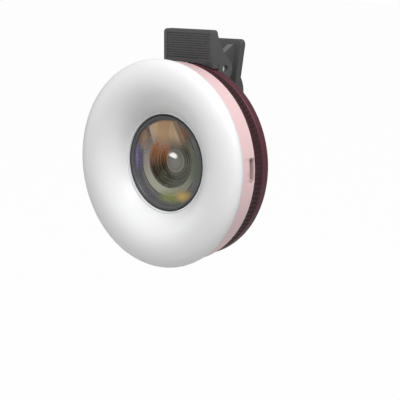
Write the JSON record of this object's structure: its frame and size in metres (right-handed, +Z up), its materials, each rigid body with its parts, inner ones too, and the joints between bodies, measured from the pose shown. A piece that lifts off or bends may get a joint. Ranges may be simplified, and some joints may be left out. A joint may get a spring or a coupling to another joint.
{
  "type": "clip on selfie ring light",
  "caption": "Ring light around a wide lens with a close-up lens behind it, carried in the front jaw of a sprung clip.",
  "frame": {"origin": "on the lens axis, in the plane of the front pad's gripping face", "axes": "-Y forward out of the lens, +X right as the lit face is looked at, +Z up to the levers"},
  "size_m": [0.0664, 0.0341, 0.075],
  "materials": {
    "diffuser_white": "satin, milky",
    "rim_pink": "soft gloss",
    "housing_burgundy": "soft gloss",
    "board_white": "solder mask",
    "led_lens": "phosphor in a white case",
    "chip_black": "moulded",
    "steel": "bright",
    "battery_foil": "foil pouch",
    "lens_black": "black anodised",
    "baffle_grey": "dark satin",
    "coated_glass": "polished, coated",
    "clip_grey": "fine moulded grain",
    "pad_rubber": "soft matt"
  },
  "bodies": {
    "clip_front": {"front_clip_arm": "clip_grey", "front_pad": "pad_rubber", "pivot_pin": "steel", "torsion_spring": "steel"},
    "clip_rear": {"rear_clip_arm": "clip_grey", "rear_pad": "pad_rubber"},
    "close_up_lens": {"macro_barrel": "lens_black", "macro_glass": "coated_glass", "macro_ring": "lens_black"},
    "light_unit": {"diffuser": "diffuser_white", "rim_housing": "rim_pink", "rear_housing": "housing_burgundy", "led_board": "board_white", "leds": "led_lens", "board_parts": "chip_black", "board_screws": "steel", "battery": "battery_foil", "charging_socket": "steel", "tact_switch": "chip_black", "wide_lens_barrel": "lens_black", "wide_front_glass": "coated_glass", "wide_front_ring": "lens_black", "lens_baffle": "baffle_grey", "wide_rear_glass": "coated_glass"},
    "button": {"power_button": "rim_pink"}
  },
  "joints": [
    {"name": "clip_hinge", "type": "hinge", "parent": "clip_front", "child": "clip_rear", "pos_m": [0, -0.0006, 0.0293], "axis": [1, 0, 0], "range_deg": [0, 30], "stiffness_Nm_per_rad": 0.25, "springref_deg": -22.92, "deforming": ["torsion_spring"]},
    {"name": "close_up_turn", "type": "hinge", "parent": "clip_front", "child": "close_up_lens", "pos_m": [0, 0, 0], "axis": [0, 1, 0], "continuous": true},
    {"name": "light_turn", "type": "hinge", "parent": "close_up_lens", "child": "light_unit", "pos_m": [0, 0, 0], "axis": [0, 1, 0], "continuous": true},
    {"name": "button_press", "type": "slide", "parent": "light_unit", "child": "button", "axis": [1, 0, 0], "range_m": [0, 0.0004], "stiffness_N_per_m": 600, "springref_m": -0.0005}
  ]
}
